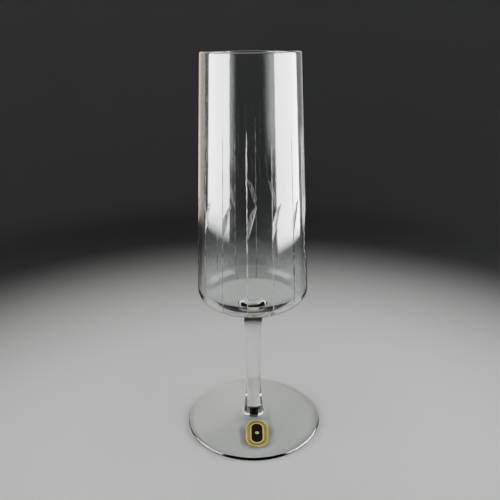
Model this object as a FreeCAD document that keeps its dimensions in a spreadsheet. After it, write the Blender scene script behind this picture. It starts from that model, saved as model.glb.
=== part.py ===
import FreeCAD, Part
import math
import os
import Sketcher

# Cut-crystal champagne flute: a blown bowl fused to a drawn stem, the stem fused
# to a pressed foot, and a thin foil label stuck on the foot. Millimetres, +Z up,
# origin in the middle of the resting plane, -Y is the front, where the label lies.

DIMENSIONS = [
    ("overall_height", 187.0, "resting plane to top of rim"),
    ("rim_middle_radius", 21.35, "middle of the rim's rounded edge"),
    ("rim_round", 0.55, "half the wall at the rim"),
    ("belly_radius", 26.87, "outer wall where its corner begins"),
    ("belly_level", 78.2, "outer wall where its corner begins"),
    ("corner_round", 7.0, "outer corner between wall and underside"),
    ("inner_belly_radius", 25.35, "inner wall where its corner begins"),
    ("inner_belly_level", 78.8, "inner wall where its corner begins"),
    ("inner_corner_round", 6.6, "inner corner between wall and floor"),
    ("floor_level", 69.3, "middle of the bowl's floor, inside"),
    ("seat_radius", 7.6, "round seat where bowl and stem are fused"),
    ("seat_level", 66.2, "seat under the bowl"),
    ("motif_count", 14.0, "cut motifs round the bowl"),
    ("motif_phase", 7.66, "first motif from the +X side, degrees"),
    ("cut_clearance", 0.5, "how far the cutting wedges stand outside the wall"),
    ("line_depth", 0.2, "depth of the straight mitre cut"),
    ("line_top_level", 156.8, "top end of the straight cut"),
    ("line_run_out", 6.0, "length over which its top end fades out"),
    ("line_end_angle", 66.0, "how far it follows the corner, degrees"),
    ("line_flank_angle", 40.0, "slope of its two flanks, degrees"),
    ("line_width", 0.64, "width of the cutting wedge"),
    ("leaf_foot_level", 109.4, "where the leaf leaves the straight cut"),
    ("leaf_length", 17.8, "leaf from end to end"),
    ("leaf_lean", 15.0, "lean of the leaf from the straight cut, degrees"),
    ("leaf_depth", 0.5, "deepest point of the leaf"),
    ("leaf_facet_slope", 13.0, "slope of its broad facet, degrees"),
    ("leaf_edge_slope", 62.0, "slope of its short facet, degrees"),
    ("leaf_sweep", 22.0, "turn of the wheel through the wall, degrees"),
    ("waist_radius", 3.6, "thinnest part of the stem"),
    ("waist_level", 31.0, "level of the thinnest part"),
    ("waist_curve", 450.0, "long curve along the stem"),
    ("flare_curve", 35.0, "flare under the bowl"),
    ("collar_round", 3.0, "small curve from flare to seat"),
    ("collar_level", 64.55, "where the flare turns into that curve"),
    ("ankle_curve", 200.0, "gentle flare down to the foot"),
    ("hub_radius", 5.1, "stem and foot are fused here"),
    ("hub_level", 5.8, "top of the foot's hub"),
    ("plate_inner_radius", 6.48, "where the hub's curve meets the plate"),
    ("plate_inner_level", 4.46, "top of the plate beside the hub"),
    ("plate_outer_radius", 34.04, "where the plate meets its rounded edge"),
    ("plate_outer_level", 1.9, "top of the plate at its edge"),
    ("rest_inner_radius", 30.5, "inner edge of the flat resting ring"),
    ("underside_rise", 1.3, "hollow under the foot, at its middle"),
    ("label_width", 11.4, "across the label"),
    ("label_length", 18.8, "along the label, pointing at the stem"),
    ("label_side", 1.5, "label's middle, towards +X"),
    ("label_front", 17.7, "label's middle, in front of the stem"),
    ("label_thickness", 0.12, "foil and its adhesive"),
    ("label_blank_height", 6.0, "block that the label is cut from"),
]
VALUE = {alias: value for alias, value, note in DIMENSIONS}

# The sketcher's numbers for an edge's ends, its axes and its first outside edge.
START, END, CENTRE = 1, 2, 3
HORIZONTAL_AXIS, VERTICAL_AXIS = -1, -2
FIRST_EXTERNAL = -3

# Where the solver starts from. The constraints then give the true shape.
CORNER_START_ANGLE = -60.0
INNER_CORNER_START_ANGLE = -70.0
DOME_START_RADIUS = 55.0
FLOOR_START_RADIUS = 80.0

OUTER_CORNER_MIDDLE_ANGLE = -30.0
LEAST_CUT_VOLUME = 1e-3


def fill_sheet(doc):
    """Write every driving dimension into the spreadsheet, one row each."""
    sheet = doc.addObject("Spreadsheet::Sheet", "dims")
    for row, (alias, value, note) in enumerate(DIMENSIONS, start=1):
        sheet.set(f"A{row}", note)
        sheet.set(f"B{row}", str(value))
        sheet.setAlias(f"B{row}", alias)
    doc.recompute()


def new_body(doc, name):
    """A PartDesign body whose label names its node."""
    body = doc.addObject("PartDesign::Body", name)
    body.Label = name
    return body


def origin_feature(body, role):
    """The body's own origin plane or axis with this role."""
    return next(item for item in body.Origin.OriginFeatures if item.Role == role)


def new_sketch(body, name, role="XZ_Plane"):
    """A sketch lying on one of the body's origin planes."""
    sketch = body.newObject("Sketcher::SketchObject", name)
    sketch.AttachmentSupport = (origin_feature(body, role), [""])
    sketch.MapMode = "FlatFace"
    return sketch


def line(sketch, first, last):
    """Add a straight edge and return its index."""
    edge = Part.LineSegment(FreeCAD.Vector(*first, 0), FreeCAD.Vector(*last, 0))
    return sketch.addGeometry(edge, False)


def arc(sketch, centre, first, last):
    """Add the arc that runs anticlockwise from one point to another."""
    radius = math.dist(centre, first)
    circle = Part.Circle(FreeCAD.Vector(*centre, 0), FreeCAD.Vector(0, 0, 1), radius)
    begin = math.atan2(first[1] - centre[1], first[0] - centre[0])
    finish = math.atan2(last[1] - centre[1], last[0] - centre[0])
    if finish < begin:
        finish += 2 * math.pi
    return sketch.addGeometry(Part.ArcOfCircle(circle, begin, finish), False)


def join(sketch, first, first_end, second, second_end, smooth=False):
    """Join two edges end to end, smoothly where asked."""
    kind = "Tangent" if smooth else "Coincident"
    sketch.addConstraint(Sketcher.Constraint(kind, first, first_end, second, second_end))


def on_axis(sketch, edge, end, axis=VERTICAL_AXIS):
    """Keep a point of the sketch on one of its axes."""
    sketch.addConstraint(Sketcher.Constraint("PointOnObject", edge, end, axis))


def bind(sketch, kind, target, value, rule):
    """Add a dimension and bind it to the spreadsheet."""
    index = sketch.addConstraint(Sketcher.Constraint(kind, *target, value))
    sketch.setExpression(f"Constraints[{index}]", rule)


def bind_x(sketch, edge, end, value, rule):
    """Bind a point's distance from the vertical axis."""
    bind(sketch, "DistanceX", (HORIZONTAL_AXIS, START, edge, end), value, rule)


def bind_y(sketch, edge, end, value, rule):
    """Bind a point's level above the horizontal axis."""
    bind(sketch, "DistanceY", (HORIZONTAL_AXIS, START, edge, end), value, rule)


def revolve(body, sketch, name, kind="PartDesign::Revolution"):
    """Turn a closed half outline about the body's vertical axis."""
    turned = body.newObject(kind, name)
    turned.Profile = sketch
    turned.ReferenceAxis = (sketch, ["V_Axis"])
    turned.Angle = 360.0
    return turned


def check_sketch(sketch):
    """Stop if the solver failed or left the sketch loose."""
    if sketch.solve() != 0 or not sketch.FullyConstrained:
        raise RuntimeError(f"{sketch.Name} is not fully constrained")


def check_cut(body, feature, before):
    """Stop if a subtractive feature took nothing away, else report its volume."""
    removed = before - feature.Shape.Volume
    print(f"{body.Name} {feature.Name} removes {removed:.3f} mm3")
    if removed < LEAST_CUT_VOLUME:
        raise RuntimeError(f"{feature.Name} removes nothing")


def point_at(centre, radius, angle):
    """The point of a circle at an angle in degrees."""
    turn = math.radians(angle)
    return (centre[0] + radius * math.cos(turn), centre[1] + radius * math.sin(turn))


def circle_inside(point, radius, big_centre, big_radius, side):
    """Centre of a circle through a point that touches a big circle from within."""
    gap = math.dist(point, big_centre)
    reach = big_radius - radius
    along = (gap * gap + radius * radius - reach * reach) / (2 * gap)
    across = side * math.sqrt(radius * radius - along * along)
    ux = (big_centre[0] - point[0]) / gap
    uy = (big_centre[1] - point[1]) / gap
    return (point[0] + along * ux - across * uy, point[1] + along * uy + across * ux)


def touch_point(centre, radius, big_centre):
    """Where a circle touches the big circle that it lies inside."""
    gap = math.dist(centre, big_centre)
    ux = (centre[0] - big_centre[0]) / gap
    uy = (centre[1] - big_centre[1]) / gap
    return (centre[0] + radius * ux, centre[1] + radius * uy)


def circle_beside(touch, line_end, point):
    """Centre of a circle that touches a line at one point and passes another."""
    length = math.dist(touch, line_end)
    across = ((touch[1] - line_end[1]) / length, (line_end[0] - touch[0]) / length)
    gap = (point[0] - touch[0], point[1] - touch[1])
    square = gap[0] * gap[0] + gap[1] * gap[1]
    radius = square / (2 * (across[0] * gap[0] + across[1] * gap[1]))
    return (touch[0] + radius * across[0], touch[1] + radius * across[1])


def edge_through(sketch, point):
    """Name of the sketch's edge that passes through a point of its plane."""
    probe = Part.Vertex(sketch.getGlobalPlacement().multVec(FreeCAD.Vector(*point, 0)))
    gaps = [edge.distToShape(probe)[0] for edge in sketch.Shape.Edges]
    return f"Edge{gaps.index(min(gaps)) + 1}"


def outer_wall_middle():
    """A point halfway down the bowl's outer wall."""
    v = VALUE
    top = (v["rim_middle_radius"] + v["rim_round"], v["overall_height"] - v["rim_round"])
    return ((top[0] + v["belly_radius"]) / 2, (top[1] + v["belly_level"]) / 2)


def outer_corner_middle():
    """A point in the middle of the bowl's outer corner."""
    v = VALUE
    centre = (v["belly_radius"] - v["corner_round"], v["belly_level"])
    return point_at(centre, v["corner_round"], OUTER_CORNER_MIDDLE_ANGLE)


def bowl_blank(doc, body):
    """Blown blank: tapered wall, round corner, domed underside with a flat seat."""
    v = VALUE
    sketch = new_sketch(body, "bowl_outline")
    rim = (v["rim_middle_radius"], v["overall_height"] - v["rim_round"])
    rim_outside = (rim[0] + v["rim_round"], rim[1])
    rim_inside = (rim[0] - v["rim_round"], rim[1])
    belly = (v["belly_radius"], v["belly_level"])
    corner_centre = (belly[0] - v["corner_round"], belly[1])
    corner_low = point_at(corner_centre, v["corner_round"], CORNER_START_ANGLE)
    seat = (v["seat_radius"], v["seat_level"])
    dome_centre = (0.0, seat[1] + DOME_START_RADIUS)
    floor_middle = (0.0, v["floor_level"])
    inner = (v["inner_belly_radius"], v["inner_belly_level"])
    inner_centre = (inner[0] - v["inner_corner_round"], inner[1])
    inner_low = point_at(inner_centre, v["inner_corner_round"], INNER_CORNER_START_ANGLE)
    floor_centre = (0.0, v["floor_level"] + FLOOR_START_RADIUS)

    rim_arc = arc(sketch, rim, rim_outside, rim_inside)
    wall = line(sketch, rim_outside, belly)
    corner = arc(sketch, corner_centre, corner_low, belly)
    dome = arc(sketch, dome_centre, seat, corner_low)
    seat_edge = line(sketch, seat, (0.0, seat[1]))
    middle = line(sketch, (0.0, seat[1]), floor_middle)
    floor = arc(sketch, floor_centre, floor_middle, inner_low)
    inner_corner = arc(sketch, inner_centre, inner_low, inner)
    inner_wall = line(sketch, inner, rim_inside)

    join(sketch, rim_arc, START, wall, START, smooth=True)
    join(sketch, wall, END, corner, END, smooth=True)
    join(sketch, corner, START, dome, END, smooth=True)
    join(sketch, dome, START, seat_edge, START)
    join(sketch, seat_edge, END, middle, START)
    join(sketch, middle, END, floor, START)
    join(sketch, floor, END, inner_corner, START, smooth=True)
    join(sketch, inner_corner, END, inner_wall, START, smooth=True)
    join(sketch, inner_wall, END, rim_arc, END, smooth=True)

    bind_x(sketch, rim_arc, CENTRE, rim[0], "dims.rim_middle_radius")
    bind_y(sketch, rim_arc, CENTRE, rim[1], "dims.overall_height - dims.rim_round")
    bind(sketch, "Radius", (rim_arc,), v["rim_round"], "dims.rim_round")
    bind_x(sketch, wall, END, belly[0], "dims.belly_radius")
    bind_y(sketch, wall, END, belly[1], "dims.belly_level")
    bind(sketch, "Radius", (corner,), v["corner_round"], "dims.corner_round")
    on_axis(sketch, dome, CENTRE)
    bind_x(sketch, dome, START, seat[0], "dims.seat_radius")
    bind_y(sketch, dome, START, seat[1], "dims.seat_level")
    on_axis(sketch, seat_edge, END)
    bind_y(sketch, seat_edge, END, seat[1], "dims.seat_level")
    on_axis(sketch, middle, END)
    bind_y(sketch, middle, END, floor_middle[1], "dims.floor_level")
    on_axis(sketch, floor, CENTRE)
    bind_x(sketch, inner_wall, START, inner[0], "dims.inner_belly_radius")
    bind_y(sketch, inner_wall, START, inner[1], "dims.inner_belly_level")
    bind(sketch, "Radius", (inner_corner,), v["inner_corner_round"], "dims.inner_corner_round")
    doc.recompute()
    check_sketch(sketch)
    return revolve(body, sketch, "blown_blank")


def line_cut(doc, body, before):
    """Straight mitre cut: down the wall and round the corner to the underside."""
    v = VALUE
    sketch = new_sketch(body, "line_side_view")
    outline = doc.getObject("bowl_outline")
    sketch.addExternal(outline.Name, edge_through(outline, outer_wall_middle()))
    sketch.addExternal(outline.Name, edge_through(outline, outer_corner_middle()))
    wall, corner = FIRST_EXTERNAL, FIRST_EXTERNAL - 1
    deep, clear = v["line_depth"], v["cut_clearance"]
    lean = math.atan2(
        v["belly_radius"] - v["rim_middle_radius"] - v["rim_round"],
        v["overall_height"] - v["rim_round"] - v["belly_level"],
    )
    centre = (v["belly_radius"] - v["corner_round"], v["belly_level"])
    inside, outside = v["corner_round"] - deep, v["corner_round"] + clear
    wall_angle = math.degrees(lean)
    end_angle = -v["line_end_angle"]
    run_start = v["line_top_level"] - v["line_run_out"]

    def beside(level, offset):
        """A point beside the outer wall at a level."""
        radius = v["belly_radius"] - (level - v["belly_level"]) * math.tan(lean)
        return (radius + offset, level)

    ridge_top = beside(run_start, -deep)
    ridge_low = point_at(centre, inside, wall_angle)
    ridge_end = point_at(centre, inside, end_angle)
    outer_end = point_at(centre, outside, end_angle)
    outer_low = point_at(centre, outside, wall_angle)
    outer_top = beside(v["line_top_level"] + v["line_run_out"] * clear / deep, clear)

    ridge = line(sketch, ridge_top, ridge_low)
    ridge_bend = arc(sketch, centre, ridge_end, ridge_low)
    end_edge = line(sketch, ridge_end, outer_end)
    outer_bend = arc(sketch, centre, outer_end, outer_low)
    outer = line(sketch, outer_low, outer_top)
    fade = line(sketch, outer_top, ridge_top)

    join(sketch, ridge, END, ridge_bend, END, smooth=True)
    join(sketch, ridge_bend, START, end_edge, START)
    join(sketch, end_edge, END, outer_bend, START)
    join(sketch, outer_bend, END, outer, START, smooth=True)
    join(sketch, outer, END, fade, START)
    join(sketch, fade, END, ridge, START)

    sketch.addConstraint(Sketcher.Constraint("Coincident", ridge_bend, CENTRE, corner, CENTRE))
    sketch.addConstraint(Sketcher.Constraint("Coincident", outer_bend, CENTRE, corner, CENTRE))
    bind(sketch, "Radius", (ridge_bend,), inside, "dims.corner_round - dims.line_depth")
    bind(sketch, "Radius", (outer_bend,), outside, "dims.corner_round + dims.cut_clearance")
    sketch.addConstraint(Sketcher.Constraint("Parallel", ridge, wall))
    sketch.addConstraint(Sketcher.Constraint("Parallel", outer, wall))
    bind_y(sketch, ridge, START, run_start, "dims.line_top_level - dims.line_run_out")
    bind_y(
        sketch, fade, START, outer_top[1],
        "dims.line_top_level + dims.line_run_out * dims.cut_clearance / dims.line_depth",
    )
    end_drop = centre[1] - ridge_end[1]
    outer_drop = centre[1] - outer_end[1]
    slope = "sin(dims.line_end_angle * 1 deg)"
    bind(
        sketch, "DistanceY", (ridge_bend, START, ridge_bend, CENTRE), end_drop,
        f"(dims.corner_round - dims.line_depth) * {slope}",
    )
    bind(
        sketch, "DistanceY", (outer_bend, START, outer_bend, CENTRE), outer_drop,
        f"(dims.corner_round + dims.cut_clearance) * {slope}",
    )
    doc.recompute()
    check_sketch(sketch)

    cut = body.newObject("PartDesign::Pocket", "line_cut")
    cut.Profile = sketch
    cut.SideType = "Symmetric"
    cut.setExpression("Length", "dims.line_width")
    cut.setExpression("TaperAngle", "-dims.line_flank_angle")
    cut.setExpression("TaperAngle2", "-dims.line_flank_angle")
    doc.recompute()
    check_cut(body, cut, before)
    return cut


def leaf_cut(doc, body, before):
    """Leaf: one pass of a slanting wheel with a broad facet and a short one."""
    v = VALUE
    sketch = new_sketch(body, "leaf_wheel_section", "XY_Plane")
    run = "dims.overall_height - dims.rim_round - dims.belly_level"
    taper = "dims.belly_radius - dims.rim_middle_radius - dims.rim_round"
    lean = "dims.leaf_lean * 1 deg"
    level = f"(dims.leaf_foot_level + dims.leaf_length / 2 * cos({lean}))"
    radius = f"(dims.belly_radius - ({level} - dims.belly_level) * ({taper}) / ({run}))"
    turn = f"(dims.leaf_length / 2 * sin({lean}) / {radius} * 1 rad)"
    sketch.setExpression("AttachmentOffset.Base.x", f"{radius} * cos({turn})")
    sketch.setExpression("AttachmentOffset.Base.y", f"{radius} * sin({turn})")
    sketch.setExpression("AttachmentOffset.Base.z", level)
    sketch.setExpression("AttachmentOffset.Rotation.Yaw", turn)
    sketch.setExpression("AttachmentOffset.Rotation.Pitch", f"-atan(({taper}) / ({run}))")
    sketch.setExpression("AttachmentOffset.Rotation.Roll", f"-{lean}")

    deep, clear = v["leaf_depth"], v["cut_clearance"]
    broad = (deep + clear) / math.tan(math.radians(v["leaf_facet_slope"]))
    short = (deep + clear) / math.tan(math.radians(v["leaf_edge_slope"]))
    wheel = v["leaf_length"] ** 2 / (8 * deep) + deep / 2
    ridge = (-deep, 0.0)
    left = (clear, -broad)
    right = (clear, short)
    facet = line(sketch, ridge, left)
    back = line(sketch, left, right)
    edge = line(sketch, right, ridge)
    spindle = line(sketch, (wheel - deep, -deep), (wheel - deep, deep))
    sketch.setConstruction(spindle, True)

    join(sketch, facet, END, back, START)
    join(sketch, back, END, edge, START)
    join(sketch, edge, END, facet, START)
    on_axis(sketch, facet, START, HORIZONTAL_AXIS)
    sketch.addConstraint(Sketcher.Constraint("Vertical", back))
    sketch.addConstraint(
        Sketcher.Constraint("Symmetric", spindle, START, spindle, END, HORIZONTAL_AXIS)
    )
    bind(sketch, "DistanceX", (facet, START, HORIZONTAL_AXIS, START), deep, "dims.leaf_depth")
    bind_x(sketch, back, START, clear, "dims.cut_clearance")
    depth = "(dims.leaf_depth + dims.cut_clearance)"
    bind(
        sketch, "DistanceY", (back, START, HORIZONTAL_AXIS, START), broad,
        f"{depth} / tan(dims.leaf_facet_slope * 1 deg)",
    )
    bind_y(sketch, back, END, short, f"{depth} / tan(dims.leaf_edge_slope * 1 deg)")
    reach = "dims.leaf_length ^ 2 / (8 * dims.leaf_depth) - dims.leaf_depth / 2"
    bind_x(sketch, spindle, START, wheel - deep, reach)
    bind(sketch, "DistanceY", (spindle, START, spindle, END), 2 * deep, "2 * dims.leaf_depth")
    doc.recompute()
    check_sketch(sketch)

    cut = body.newObject("PartDesign::Groove", "leaf_cut")
    cut.Profile = sketch
    cut.ReferenceAxis = (sketch, ["Axis0"])
    cut.Midplane = True
    cut.setExpression("Angle", "dims.leaf_sweep")
    doc.recompute()
    check_cut(body, cut, before)
    return cut


def build_bowl(doc):
    """Blown bowl with fourteen cut motifs round the outside."""
    body = new_body(doc, "bowl")
    blank = bowl_blank(doc, body)
    doc.recompute()
    straight = line_cut(doc, body, blank.Shape.Volume)
    leaf = leaf_cut(doc, body, straight.Shape.Volume)
    one_motif = leaf.Shape.Volume
    ring = body.newObject("PartDesign::PolarPattern", "motif_ring")
    ring.Originals = [straight, leaf]
    ring.Axis = (origin_feature(body, "Z_Axis"), [""])
    ring.Angle = 360.0
    ring.setExpression("Occurrences", "dims.motif_count")
    body.Tip = ring
    body.Placement.Rotation.Axis = FreeCAD.Vector(0, 0, 1)
    body.setExpression("Placement.Rotation.Angle", "dims.motif_phase * 1 deg")
    doc.recompute()
    check_cut(body, ring, one_motif)
    return body


def build_stem(doc):
    """Drawn stem: slim waist, flared up to the bowl and down to the foot's hub."""
    body = new_body(doc, "stem")
    v = VALUE
    sketch = new_sketch(body, "stem_outline")
    waist_centre = (v["waist_radius"] + v["waist_curve"], v["waist_level"])
    seat = (v["seat_radius"], v["seat_level"])
    hub = (v["hub_radius"], v["hub_level"])
    ankle_centre = circle_inside(hub, v["ankle_curve"], waist_centre, v["waist_curve"], 1)
    ankle_touch = touch_point(ankle_centre, v["ankle_curve"], waist_centre)
    collar_x = seat[0] - v["collar_round"] / 2
    collar = (collar_x, v["collar_level"])
    flare_centre = circle_inside(collar, v["flare_curve"], waist_centre, v["waist_curve"], -1)
    flare_touch = touch_point(flare_centre, v["flare_curve"], waist_centre)
    collar_centre = point_at(
        collar,
        v["collar_round"],
        math.degrees(math.atan2(flare_centre[1] - collar[1], flare_centre[0] - collar[0])),
    )

    foot_edge = line(sketch, (0.0, hub[1]), hub)
    ankle = arc(sketch, ankle_centre, ankle_touch, hub)
    waist = arc(sketch, waist_centre, flare_touch, ankle_touch)
    flare = arc(sketch, flare_centre, collar, flare_touch)
    round_over = arc(sketch, collar_centre, seat, collar)
    seat_edge = line(sketch, seat, (0.0, seat[1]))
    middle = line(sketch, (0.0, seat[1]), (0.0, hub[1]))

    join(sketch, foot_edge, END, ankle, END)
    join(sketch, ankle, START, waist, END, smooth=True)
    join(sketch, waist, START, flare, END, smooth=True)
    join(sketch, flare, START, round_over, END, smooth=True)
    join(sketch, round_over, START, seat_edge, START)
    join(sketch, seat_edge, END, middle, START)
    join(sketch, middle, END, foot_edge, START)

    on_axis(sketch, foot_edge, START)
    bind_y(sketch, foot_edge, START, hub[1], "dims.hub_level")
    bind_x(sketch, foot_edge, END, hub[0], "dims.hub_radius")
    bind_y(sketch, foot_edge, END, hub[1], "dims.hub_level")
    bind(sketch, "Radius", (ankle,), v["ankle_curve"], "dims.ankle_curve")
    bind_x(sketch, waist, CENTRE, waist_centre[0], "dims.waist_radius + dims.waist_curve")
    bind_y(sketch, waist, CENTRE, waist_centre[1], "dims.waist_level")
    bind(sketch, "Radius", (waist,), v["waist_curve"], "dims.waist_curve")
    bind(sketch, "Radius", (flare,), v["flare_curve"], "dims.flare_curve")
    bind(sketch, "Radius", (round_over,), v["collar_round"], "dims.collar_round")
    bind_y(sketch, flare, START, collar[1], "dims.collar_level")
    bind_x(sketch, seat_edge, START, seat[0], "dims.seat_radius")
    bind_y(sketch, seat_edge, START, seat[1], "dims.seat_level")
    on_axis(sketch, seat_edge, END)
    bind_y(sketch, seat_edge, END, seat[1], "dims.seat_level")
    doc.recompute()
    check_sketch(sketch)
    revolve(body, sketch, "drawn_rod")
    return body


def build_foot(doc):
    """Pressed foot: round plate with a hub on top and a shallow hollow beneath."""
    body = new_body(doc, "foot")
    v = VALUE
    sketch = new_sketch(body, "foot_outline")
    hub = (v["hub_radius"], v["hub_level"])
    plate_inner = (v["plate_inner_radius"], v["plate_inner_level"])
    plate_outer = (v["plate_outer_radius"], v["plate_outer_level"])
    edge_round = v["plate_outer_level"] / 2
    edge_centre = (plate_outer[0], edge_round)
    edge_low = (plate_outer[0], 0.0)
    ring = (v["rest_inner_radius"], 0.0)
    hollow_top = (0.0, v["underside_rise"])
    hollow_radius = (ring[0] ** 2 + hollow_top[1] ** 2) / (2 * hollow_top[1])
    hollow_centre = (0.0, hollow_top[1] - hollow_radius)
    hub_centre = circle_beside(plate_inner, plate_outer, hub)

    hub_top = line(sketch, (0.0, hub[1]), hub)
    hub_curve = arc(sketch, hub_centre, hub, plate_inner)
    plate = line(sketch, plate_inner, plate_outer)
    edge = arc(sketch, edge_centre, edge_low, plate_outer)
    rest = line(sketch, edge_low, ring)
    hollow = arc(sketch, hollow_centre, ring, hollow_top)
    middle = line(sketch, hollow_top, (0.0, hub[1]))

    join(sketch, hub_top, END, hub_curve, START)
    join(sketch, hub_curve, END, plate, START, smooth=True)
    join(sketch, plate, END, edge, END, smooth=True)
    join(sketch, edge, START, rest, START, smooth=True)
    join(sketch, rest, END, hollow, START)
    join(sketch, hollow, END, middle, START)
    join(sketch, middle, END, hub_top, START)

    on_axis(sketch, hub_top, START)
    bind_y(sketch, hub_top, START, hub[1], "dims.hub_level")
    bind_x(sketch, hub_top, END, hub[0], "dims.hub_radius")
    bind_y(sketch, hub_top, END, hub[1], "dims.hub_level")
    bind_x(sketch, plate, START, plate_inner[0], "dims.plate_inner_radius")
    bind_y(sketch, plate, START, plate_inner[1], "dims.plate_inner_level")
    bind_x(sketch, plate, END, plate_outer[0], "dims.plate_outer_radius")
    bind_y(sketch, plate, END, plate_outer[1], "dims.plate_outer_level")
    on_axis(sketch, rest, START, HORIZONTAL_AXIS)
    on_axis(sketch, rest, END, HORIZONTAL_AXIS)
    bind_x(sketch, rest, END, ring[0], "dims.rest_inner_radius")
    on_axis(sketch, hollow, CENTRE)
    on_axis(sketch, hollow, END)
    bind_y(sketch, hollow, END, hollow_top[1], "dims.underside_rise")
    doc.recompute()
    check_sketch(sketch)
    revolve(body, sketch, "pressed_plate")
    return body


def label_waste(doc, body, name, above):
    """Groove that trims the label's block along the plate, above or below it."""
    v = VALUE
    sketch = new_sketch(body, f"{name}_outline")
    inner = (v["plate_inner_radius"], v["plate_inner_level"])
    outer = (v["plate_outer_radius"], v["plate_outer_level"])
    thick = v["label_thickness"] if above else 0.0
    rise = " + dims.label_thickness" if above else ""
    far_level = v["label_blank_height"] if above else 0.0
    first = (inner[0], inner[1] + thick)
    last = (outer[0], outer[1] + thick)
    plate = line(sketch, first, last)
    outside = line(sketch, last, (outer[0], far_level))
    back = line(sketch, (outer[0], far_level), (inner[0], far_level))
    inside = line(sketch, (inner[0], far_level), first)
    join(sketch, plate, END, outside, START)
    join(sketch, outside, END, back, START)
    join(sketch, back, END, inside, START)
    join(sketch, inside, END, plate, START)
    bind_x(sketch, plate, START, inner[0], "dims.plate_inner_radius")
    bind_y(sketch, plate, START, first[1], f"dims.plate_inner_level{rise}")
    bind_x(sketch, plate, END, outer[0], "dims.plate_outer_radius")
    bind_y(sketch, plate, END, last[1], f"dims.plate_outer_level{rise}")
    sketch.addConstraint(Sketcher.Constraint("Vertical", outside))
    sketch.addConstraint(Sketcher.Constraint("Vertical", inside))
    if above:
        sketch.addConstraint(Sketcher.Constraint("Horizontal", back))
        bind_y(sketch, back, START, far_level, "dims.label_blank_height")
    else:
        on_axis(sketch, back, START, HORIZONTAL_AXIS)
        on_axis(sketch, back, END, HORIZONTAL_AXIS)
    doc.recompute()
    check_sketch(sketch)
    before = body.Shape.Volume
    groove = revolve(body, sketch, name, "PartDesign::Groove")
    doc.recompute()
    check_cut(body, groove, before)


def build_label(doc):
    """Foil label: a long oval with straight sides that lies along the plate."""
    body = new_body(doc, "label")
    v = VALUE
    sketch = new_sketch(body, "label_outline", "XY_Plane")
    half = v["label_width"] / 2
    reach = v["label_length"] / 2 - half
    x, y = v["label_side"], -v["label_front"]
    far, near = (x, y + reach), (x, y - reach)
    right_side = line(sketch, (x + half, near[1]), (x + half, far[1]))
    far_end = arc(sketch, far, (x + half, far[1]), (x - half, far[1]))
    left_side = line(sketch, (x - half, far[1]), (x - half, near[1]))
    near_end = arc(sketch, near, (x - half, near[1]), (x + half, near[1]))
    join(sketch, right_side, END, far_end, START, smooth=True)
    join(sketch, far_end, END, left_side, START, smooth=True)
    join(sketch, left_side, END, near_end, START, smooth=True)
    join(sketch, near_end, END, right_side, START, smooth=True)
    sketch.addConstraint(Sketcher.Constraint("Vertical", right_side))
    sketch.addConstraint(Sketcher.Constraint("Vertical", left_side))
    bind(sketch, "Radius", (far_end,), half, "dims.label_width / 2")
    bind_x(sketch, far_end, CENTRE, x, "dims.label_side")
    half_run = "(dims.label_length - dims.label_width) / 2"
    bind(
        sketch, "DistanceY", (far_end, CENTRE, HORIZONTAL_AXIS, START), -far[1],
        f"dims.label_front - {half_run}",
    )
    bind(
        sketch, "DistanceY", (near_end, CENTRE, HORIZONTAL_AXIS, START), -near[1],
        f"dims.label_front + {half_run}",
    )
    doc.recompute()
    check_sketch(sketch)
    block = body.newObject("PartDesign::Pad", "label_blank")
    block.Profile = sketch
    block.setExpression("Length", "dims.label_blank_height")
    doc.recompute()
    label_waste(doc, body, "trim_above", above=True)
    label_waste(doc, body, "trim_below", above=False)
    return body


def check_document(doc):
    """Stop if any object of the document was left failed by its last recompute."""
    for item in doc.Objects:
        if "Invalid" in item.State or "Error" in item.State:
            raise RuntimeError(f"{item.Name} failed: {item.State}")


def main():
    """Build every piece, check it and write its STEP file."""
    doc = FreeCAD.newDocument("champagne_flute")
    fill_sheet(doc)
    pieces = [build_bowl(doc), build_stem(doc), build_foot(doc), build_label(doc)]
    doc.recompute()
    check_document(doc)
    for piece in pieces:
        shape = piece.Shape
        if shape.isNull() or not shape.isValid() or len(shape.Solids) != 1:
            raise RuntimeError(f"{piece.Label} is not one valid solid")
    os.makedirs("parts", exist_ok=True)
    for piece in pieces:
        piece.Shape.exportStep(f"parts/{piece.Label}.step")
        print(f"{piece.Label}: {piece.Shape.Volume:.1f} mm3")


main()
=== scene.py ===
"""Cut-crystal champagne flute: smooth glass, wheel cuts, foil label, studio and camera."""

import logging
import math
from dataclasses import dataclass, field
from enum import Enum, IntEnum

import bmesh
import bpy
from mathutils import Matrix, Vector


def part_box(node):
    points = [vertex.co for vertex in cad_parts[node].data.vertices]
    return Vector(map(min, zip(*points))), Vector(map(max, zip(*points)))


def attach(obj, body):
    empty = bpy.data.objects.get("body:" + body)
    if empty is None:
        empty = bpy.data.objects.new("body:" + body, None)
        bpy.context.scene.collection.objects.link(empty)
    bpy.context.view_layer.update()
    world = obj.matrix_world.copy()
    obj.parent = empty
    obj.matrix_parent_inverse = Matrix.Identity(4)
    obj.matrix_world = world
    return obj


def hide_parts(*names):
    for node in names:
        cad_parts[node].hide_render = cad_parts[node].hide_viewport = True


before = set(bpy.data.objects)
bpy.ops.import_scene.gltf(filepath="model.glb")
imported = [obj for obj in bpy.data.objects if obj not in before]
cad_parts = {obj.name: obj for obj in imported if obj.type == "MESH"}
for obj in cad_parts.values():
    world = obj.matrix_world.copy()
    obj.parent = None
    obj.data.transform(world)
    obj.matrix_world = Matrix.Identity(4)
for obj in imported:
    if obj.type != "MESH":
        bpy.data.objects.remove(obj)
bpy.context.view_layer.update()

MM = 0.001
UP = Vector((0, 0, 1))
BODY = "root"
MERGE_GAP = 0.001 * MM
SEAM_CREASE = math.radians(60.0)

Point = tuple[float, float]
Colour = tuple[float, float, float]
Stretch = tuple[float, float, float]
Shape = bmesh.types.BMesh
Socket = bpy.types.NodeSocket
Material = bpy.types.Material
Mesh = bpy.types.Mesh
Object = bpy.types.Object

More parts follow.
